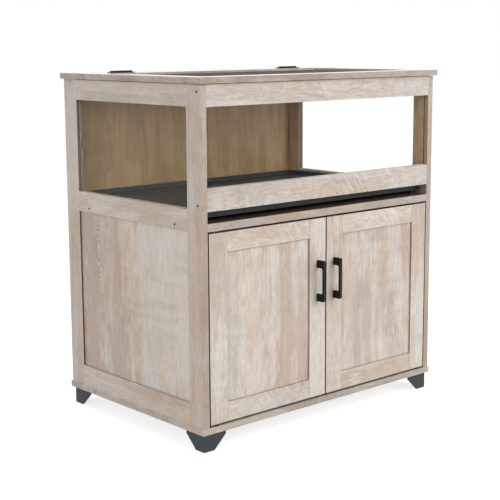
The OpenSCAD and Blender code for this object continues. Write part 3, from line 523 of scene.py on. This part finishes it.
def screws(node, body, finish, cross=True):
    """Screws with sockets in the places and sizes of that CAD node's plain ones."""
    shape = bmesh.new()
    shape.from_mesh(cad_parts[node].data)
    bmesh.ops.remove_doubles(shape, verts=shape.verts, dist=1e-6)
    unseen = set(shape.verts)
    points = []
    while unseen:
        island = [unseen.pop()]
        for vert in island:
            near = {edge.other_vert(vert) for edge in vert.link_edges} & unseen
            unseen -= near
            island.extend(near)
        spots = [vert.co.copy() for vert in island]
        low = Vector([min(spot[i] for spot in spots) for i in range(3)])
        high = Vector([max(spot[i] for spot in spots) for i in range(3)])
        along = max(range(3), key=lambda i: high[i] - low[i])
        axis = Vector([float(i == along) for i in range(3)])
        centre = (low + high) / 2
        radii = [((spot - centre) - axis * (spot - centre).dot(axis)).length for spot in spots]
        head = [spot for spot, radius in zip(spots, radii) if radius > max(radii) - 1e-5]
        if sum(spot[along] for spot in head) / len(head) < centre[along]:
            axis = -axis
        length = high[along] - low[along]
        head_height = length / 2 - min((spot - centre).dot(axis) for spot in head)
        shank_radius = min(radius for radius in radii if radius > 1e-4)
        points.append((centre + axis * length / 2, axis))
    shape.free()
    width = max(radii) * (CROSS_WIDTH if cross else 1.0)
    piece = grown(node + "_driven", screw_group, {
        "Head radius": max(radii),
        "Head height": head_height,
        "Shank radius": shank_radius,
        "Length": length,
        "Socket width": width,
        "Socket depth": head_height * SOCKET_DEPTH,
        "Socket is a cross": cross,
        "Finish": finish,
    }, points)
    piece.data.shade_smooth()
    piece.data.set_sharp_from_angle(angle=math.radians(35))
    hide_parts(node)
    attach(piece, body)


black_oxide = coating("black_oxide", (0.002, 0.002, 0.002), 0.6, 0.2, 900, gloss=0.05)
screws("assembly_screws", "cabinet", black_oxide, cross=False)


# Back panels: thin fibreboard with a browner print, darkened further with the
# painted shade of the inside, one behind the habitat and one behind the cabinet,
# in grooves and screwed to the divider board's rear edge.
def dress(finish, *nodes):
    for node in nodes:
        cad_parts[node].data.materials.clear()
        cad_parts[node].data.materials.append(finish)


# a browner print, and painted shade of the inside that darkens it further
BROWN_PRINT_AND_SHADE = (0.43, 0.30, 0.145, 1)
for node, start in (("habitat_back_panel", (7.7, 0.5, 0.2)), ("cabinet_back_panel", (8.9, 0.1, 1.3))):
    dress(oak_finish("oak_" + node, UPRIGHT, start, FORWARD, Tint=BROWN_PRINT_AND_SHADE, Lines=1.3), node)
plain_steel = coating("plain_steel", (0.52, 0.52, 0.53), 0.32, 0.08, 500, metallic=1.0)
screws("back_panel_screws", "cabinet", plain_steel)


# Tray runners: two strips of board on the divider board, painted as dark as its faces, as the slot's shade.
# The tray stands on them, clear of the divider board, and slides along them.
EDGE_LIKE_FACE = (1, 1, 1, 1)
for side, start in (("left", (9.2, 0, 0)), ("right", (9.6, 0, 0))):
    finish = oak_finish(f"oak_{side}_runner", FRONT_TO_BACK, start, LEVEL, EDGE_LIKE_FACE,
        Tint=PAINTED_SHADE_FACE, Figure=0.4, Contrast=0.6)
    eased(side + "_tray_runner", "cabinet", finish)


# Rear top board: 15 mm board, fixed on dowels over the rear stiles. It carries
# the fixed leaves of the lid's hinges, and its print is painted paler than the
# sides', as a painted sheen of the top.
TOP_EDGE = (0.68, 0.65, 0.62, 1)
# the tint above 1 paints the tops paler, as a painted sheen; gloss and coat are the finish
TOP_GLOSS_AND_PAINTED_SHEEN = {"gloss": 0.15, "coat": 1.0, "Tint": (1.03, 1.05, 1.07, 1)}
rear_finish = oak_finish("oak_rear_top", SIDEWAYS, (10.4, 0.3, 0.6), LEVEL, TOP_EDGE, **TOP_GLOSS_AND_PAINTED_SHEEN)
eased("rear_top_board", "cabinet", rear_finish)


# Lid: four rails of 15 mm board with mitred corners round the wire mesh, with
# the same print as the rear top board, painted pale as the top's sheen, and its
# grain along each rail.
for count, (part, grain) in enumerate((
        ("front", SIDEWAYS), ("rear", SIDEWAYS), ("left", FRONT_TO_BACK), ("right", FRONT_TO_BACK))):
    finish = oak_finish(f"oak_lid_{part}", grain, (11.0 + count * 0.8, 0.2, 0.5), LEVEL, TOP_EDGE,
        **TOP_GLOSS_AND_PAINTED_SHEEN)
    eased(f"lid_{part}_rail", "lid", finish)


# Doors: stiles and rails of 16 mm board round a thin recessed panel. The
# frame's inner edges are painted browner as the recess's shade, and its outer
# ones and a thin line beside them nearly black as the gaps' painted shade, so
# that the narrow gaps round the doors read as black lines.
# painted shade: the recess's on the inner edges, the gaps' on the outer ones
RECESS_PAINTED_SHADE = (0.50, 0.44, 0.39, 1)
GAP_PAINTED_SHADE = (0.05, 0.042, 0.036, 1)
# width and blur of the painted shadow line beside the gaps
LINE = 0.0022
LINE_BLUR = 0.0006
MEETING_GAP = 0.01
STILE_BORDER = 0.2
DOOR_EASE = 0.0011


def painted_gap_shade(finish, low, high, meeting):
    """Paints shade on a door frame: its inner edges as the recess's shade, its outer edges and a line beside
    them, on all sides but the meeting one, as the gaps' shade.
    """
    tree = finish.node_tree
    printed = tree.nodes["Group"]
    at = tree.nodes["Texture Coordinate"].outputs
    out = vector_maths(tree, "SUBTRACT", at["Object"], (low + high) / 2)
    out = vector_maths(tree, "DOT_PRODUCT", out, at["Normal"])
    edge = blend(tree, fade(tree, out, 0.0, 0.01), RECESS_PAINTED_SHADE, GAP_PAINTED_SHADE)
    tree.links.new(edge, printed.inputs["Edge"])
    half = (high - low) / 2 + Vector((MEETING_GAP / 2, 0, 0))
    middle = (low + high) / 2 + Vector((meeting * MEETING_GAP / 2, 0, 0))
    apart = vector_maths(tree, "ABSOLUTE", vector_maths(tree, "SUBTRACT", at["Object"], middle))
    inside = add(tree, "ShaderNodeSeparateXYZ", {0: vector_maths(tree, "SUBTRACT", half, apart)}).outputs
    beside = fade(tree, maths(tree, "MINIMUM", inside["X"], inside["Z"]), LINE, LINE - LINE_BLUR)
    plain = printed.outputs["Color"]
    colour = blend(tree, beside, plain, blend(tree, 1.0, plain, GAP_PAINTED_SHADE, "MULTIPLY"))
    tree.links.new(colour, tree.nodes["Principled BSDF"].inputs["Base Color"])
    return finish


for side, turn, pale, meeting in (("left", 0.0, (-4, 0, 0), 1), ("right", 3.3, (2.5, 0, -2.5), -1)):
    body = side + "_door"
    low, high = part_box(side + "_door_stiles")
    middle = (low + high) / 2
    start = (13.2 + turn, 0.6, 0.4)
    border = (start[0], start[1], start[2] + middle.z + STILE_BORDER)
    finish = oak_finish(f"oak_{side}_door_stiles", UPRIGHT, start, FORWARD, Figure=0.7, Contrast=0.55,
        Lines=0.8, Pale_side=(0, 0, -2.5), Pale_from=border, Pale_depth=0.12)
    eased(side + "_door_stiles", body, painted_gap_shade(finish, low, high, meeting), DOOR_EASE)
    finish = oak_finish(f"oak_{side}_door_rails", SIDEWAYS, (14.1 + turn, 0.2, 0.8), FORWARD,
        Saw_marks=0.8, Swirl=1.0, Contrast=0.55, Lines=0.9)
    eased(side + "_door_rails", body, painted_gap_shade(finish, low, high, meeting), DOOR_EASE)
    start = Vector((15.5 + turn, 0.9, 0.1))
    finish = oak_finish(f"oak_{side}_door_panel", UPRIGHT, start, FORWARD, Contrast=0.7, Lines=0.85,
        Pale_side=pale, Pale_from=start + middle - Vector(pale) * 0.01, Pale_depth=0.10)
    eased(side + "_door_panel", body, finish)


# Windows: three clear acrylic panes in grooves of the frames, front and sides.
# The transparent shader lets the lamps' light in through them, and the rim that
# sits in the grooves is dark, as no light comes back from there.
IN_GROOVE = 0.0055
RIM_BLUR = 0.0005
RIM_COLOUR = (0.02, 0.02, 0.02, 1)
PANE_COLOUR = (0.985, 1.0, 0.99, 1)
PANE_SHADE = (0.95, 0.97, 0.96, 1)
PANE_IOR = 1.12
for node in ("front_window", "left_window", "right_window"):
    low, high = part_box(node)
    clear = bpy.data.materials.new("clear_acrylic_" + node)
    clear.use_nodes = True
    tree = clear.node_tree
    pane = tree.nodes["Principled BSDF"]
    pane.inputs["Transmission Weight"].default_value = 1.0
    pane.inputs["IOR"].default_value = PANE_IOR
    place = tree.nodes.new("ShaderNodeTexCoord").outputs["Object"]
    apart = vector_maths(tree, "ABSOLUTE", vector_maths(tree, "SUBTRACT", place, (low + high) / 2))
    inside = vector_maths(tree, "SUBTRACT", (high - low) / 2, apart)
    inside = add(tree, "ShaderNodeSeparateXYZ", {0: inside}).outputs
    across = inside["X"] if node == "front_window" else inside["Y"]
    to_rim = maths(tree, "MINIMUM", across, inside["Z"])
    rim = fade(tree, to_rim, IN_GROOVE, IN_GROOVE - RIM_BLUR)
    tree.links.new(blend(tree, rim, PANE_COLOUR, RIM_COLOUR), pane.inputs["Base Color"])
    smear = add(tree, "ShaderNodeTexNoise", {"Scale": 9.0, "Detail": 3.0, "Vector": place}).outputs["Fac"]
    tree.links.new(fade(tree, smear, 0.4, 0.8, 0.0, 0.02), pane.inputs["Roughness"])
    through = add(tree, "ShaderNodeBsdfTransparent", {"Color": PANE_SHADE})
    which = add(tree, "ShaderNodeMixShader", {1: pane.outputs[0], 2: through.outputs[0],
        0: tree.nodes.new("ShaderNodeLightPath").outputs["Is Shadow Ray"]})
    tree.links.new(which.outputs[0], tree.nodes["Material Output"].inputs["Surface"])
    dress(clear, node)


# Feet: four moulded brackets in dark slate plastic, two tapering wings under
# a flange that is screwed to the base board.
FOOT_EASE = 0.0012
foot_coat = coating("slate_plastic", (0.038, 0.043, 0.048), 0.55, 0.15, 900, gloss=0.3)
for node in ("front_left_foot", "front_right_foot", "rear_left_foot", "rear_right_foot"):
    eased(node, "cabinet", foot_coat, FOOT_EASE, 3)
screws("foot_screws", "cabinet", plain_steel)


# Tray: one moulding of black plastic. It slides out to the front on its runners,
# through the slot under the front window.
tray_skin = coating("black_tray_plastic", (0.012, 0.013, 0.015), 0.50, 0.12, 900, gloss=0.3, height=0.00002)
eased("tray", "tray", tray_skin)


# Lid mesh: black coated wire, the cross wires welded on top of the long ones.
# The wires' ends lie in grooves of the lid's rails.
WIRE_PITCH = 0.00635
WIRE_WIDTH = 0.0011
WELD = 0.95  # how far the two layers of wires lie from the middle, in wire radii


def grid_of_wires():
    tree = bpy.data.node_groups.new("welded_wire_mesh", "GeometryNodeTree")
    sockets = {
        "Middle": ("NodeSocketVector", (0, 0, 0)),
        "Width": ("NodeSocketFloat", 0.7),
        "Depth": ("NodeSocketFloat", 0.4),
        "Pitch": ("NodeSocketFloat", 0.01),
        "Wire": ("NodeSocketFloat", 0.001),
        "Coating": ("NodeSocketMaterial", None),
    }
    for name, (kind, value) in sockets.items():
        socket = tree.interface.new_socket(name, in_out="INPUT", socket_type=kind)
        if value is not None:
            socket.default_value = value
    tree.interface.new_socket("Geometry", in_out="OUTPUT", socket_type="NodeSocketGeometry")
    given = tree.nodes.new("NodeGroupInput").outputs
    radius = maths(tree, "DIVIDE", given["Wire"], 2.0)
    layers = []
    for run, spread, turn, lift in (("Width", "Depth", (0, math.radians(90), 0), -1),
            ("Depth", "Width", (math.radians(90), 0, 0), 1)):
        spaces = maths(tree, "FLOOR", maths(tree, "DIVIDE", given[spread], given["Pitch"]))
        step = maths(tree, "DIVIDE", given[spread], spaces)
        count = maths(tree, "SUBTRACT", spaces, 1.0)
        first = maths(tree, "SUBTRACT", step, maths(tree, "DIVIDE", given[spread], 2.0))
        axis = "Y" if run == "Width" else "X"
        raised = maths(tree, "MULTIPLY", radius, lift * WELD)
        start = add(tree, "ShaderNodeCombineXYZ", {axis: first, "Z": raised}).outputs[0]
        stride = add(tree, "ShaderNodeCombineXYZ", {axis: step}).outputs[0]
        line = add(tree, "GeometryNodeMeshLine", {"Count": count, "Start Location": start, "Offset": stride})
        rod = add(tree, "GeometryNodeMeshCylinder",
            {"Vertices": 8, "Radius": radius, "Depth": given[run]}).outputs["Mesh"]
        laid = add(tree, "GeometryNodeInstanceOnPoints",
            {"Points": line.outputs[0], "Instance": rod, "Rotation": turn})
        layers.append(laid.outputs[0])
    join = tree.nodes.new("GeometryNodeJoinGeometry")
    for layer in layers:
        tree.links.new(layer, join.inputs[0])
    moved = add(tree, "GeometryNodeTransform", {"Geometry": join.outputs[0], "Translation": given["Middle"]})
    real = add(tree, "GeometryNodeRealizeInstances", {0: moved.outputs[0]})
    done = add(tree, "GeometryNodeSetMaterial", {"Geometry": real.outputs[0], "Material": given["Coating"]})
    out = tree.nodes.new("NodeGroupOutput")
    tree.links.new(done.outputs[0], out.inputs[0])
    return tree


low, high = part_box("lid_mesh")
wire_coat = coating("black_wire_coat", (0.012, 0.012, 0.013), 0.42, 0.15, 600, gloss=0.35)
wires = grown("lid_wire_mesh", grid_of_wires(), {
    "Middle": (low + high) / 2,
    "Width": high.x - low.x,
    "Depth": high.y - low.y,
    "Pitch": WIRE_PITCH,
    "Wire": WIRE_WIDTH,
    "Coating": wire_coat,
})
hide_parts("lid_mesh")
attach(wires, "lid")


# Lid hinges: two flat black butt hinges across the seam, their steel pins,
# and the soft stops that the closed lid lies on.
LEAF_EASE = 0.0003
hinge_coat = coating("black_hinge_coat", (0.007, 0.007, 0.008), 0.55, 0.15, 800, gloss=0.2)
eased("lid_hinge_fixed_leaves", "cabinet", hinge_coat, LEAF_EASE)
eased("lid_hinge_lid_leaves", "lid", hinge_coat, LEAF_EASE)
screws("fixed_leaf_screws", "cabinet", black_oxide)
screws("lid_leaf_screws", "lid", black_oxide)
dress(plain_steel, "lid_hinge_pins")
dress(coating("stop_rubber", (0.02, 0.02, 0.02), 0.8, 0.2, 400), "lid_bumpers")


# Handles: two cast bows in satin black, screwed on from inside the doors. The
# doors' strike plates and pivot pins are of the same plain steel as the screws.
HANDLE_EASE = 0.0009
handle_coat = coating("satin_black_cast", (0.005, 0.0045, 0.004), 0.45, 0.2, 600, gloss=0.2)
for side in ("left", "right"):
    eased(side + "_handle", side + "_door", handle_coat, HANDLE_EASE, 3)
    screws(side + "_handle_screws", side + "_door", plain_steel)
    dress(plain_steel, side + "_strike_plate", side + "_door_pivots")


# Pivot bushes and catches: black plastic bushes in the base and divider boards,
# in which the door pivots turn, and magnetic catches under the divider board.
dress(coating("black_catch_plastic", (0.012, 0.012, 0.012), 0.5, 0.15, 500, gloss=0.3),
    "pivot_bushes", "door_catches")


# Dowels: plain beech, hidden in the joints of the side frames and under the
# rear top board.
dress(coating("beech_dowel", (0.56, 0.40, 0.23), 0.6, 0.12, 260), "frame_dowels")


# Pale floor and white surroundings. Camera, glossy and transmitted rays see
# them as white; the object itself is lit by the dimmer sky and the lamps.
def sees_backdrop(tree):
    """1 for the rays that show the surroundings: camera, glossy and transmitted ones."""
    path = tree.nodes.new("ShaderNodeLightPath").outputs
    seen = maths(tree, "MAXIMUM", path["Is Camera Ray"], path["Is Glossy Ray"])
    return maths(tree, "MAXIMUM", seen, path["Is Transmission Ray"])


FLOOR_SIZE = 40
FLOOR_GREY = (0.45, 0.45, 0.45, 1)
FLOOR_GLOW = 0.76
SKY_LIGHT = 0.60
bpy.ops.mesh.primitive_plane_add(size=FLOOR_SIZE)
floor = bpy.context.object
floor.name = "floor"
pale = bpy.data.materials.new("pale_floor")
pale.use_nodes = True
tree = pale.node_tree
tree.nodes.remove(tree.nodes["Principled BSDF"])
matt = add(tree, "ShaderNodeBsdfDiffuse", {"Color": FLOOR_GREY})
glow = add(tree, "ShaderNodeEmission", {"Color": (1, 1, 1, 1),
    "Strength": maths(tree, "MULTIPLY", sees_backdrop(tree), FLOOR_GLOW)})
both = add(tree, "ShaderNodeAddShader", {0: matt.outputs[0], 1: glow.outputs[0]})
tree.links.new(both.outputs[0], tree.nodes["Material Output"].inputs["Surface"])
floor.data.materials.append(pale)

sky = bpy.data.worlds.new("studio")
bpy.context.scene.world = sky
sky.use_nodes = True
tree = sky.node_tree
backdrop = sees_backdrop(tree)
strength = add(tree, "ShaderNodeMapRange", {"Value": backdrop, "To Min": SKY_LIGHT, "To Max": 1.0}).outputs[0]
tree.links.new(strength, tree.nodes["Background"].inputs["Strength"])
tree.nodes["Background"].inputs["Color"].default_value = (1, 1, 1, 1)


def softbox(name, place, aim, size, power):
    lamp = bpy.data.lights.new(name, "AREA")
    lamp.shape = "SQUARE"
    lamp.size = size
    lamp.energy = power
    held = bpy.data.objects.new(name, lamp)
    held.location = place
    held.rotation_euler = (Vector(aim) - Vector(place)).to_track_quat("-Z", "Y").to_euler()
    bpy.context.collection.objects.link(held)


middle = (0, 0, 0.45)
softbox("key_softbox", (1.6, -4.2, 2.4), middle, 3.0, 130)
softbox("side_softbox", (-4.6, -1.8, 1.9), middle, 2.6, 76)
softbox("top_softbox", (0.2, 0.8, 3.6), middle, 2.4, 45)


# Camera: the photograph was taken level, with the lens shifted far down. A
# small shift and a slight tilt give nearly the same picture.
CAMERA_AT = (-2.0927, -2.3451, 0.9744)
HEADING = -0.7243
TILTED_DOWN = 0.1654
ROLL = -0.0054
camera = bpy.data.objects.new("camera", bpy.data.cameras.new("camera"))
bpy.context.collection.objects.link(camera)
camera.data.sensor_width = 36.0
camera.data.lens = 84.54
camera.data.shift_y = -0.03
camera.data.clip_end = 60.0
heading = Matrix.Rotation(HEADING, 4, "Z")
tilt = Matrix.Rotation(math.radians(90) - TILTED_DOWN, 4, "X")
roll = Matrix.Rotation(ROLL, 4, "Z")
camera.matrix_world = Matrix.Translation(CAMERA_AT) @ heading @ tilt @ roll
bpy.context.scene.camera = camera
bpy.context.scene.view_settings.view_transform = "Standard"
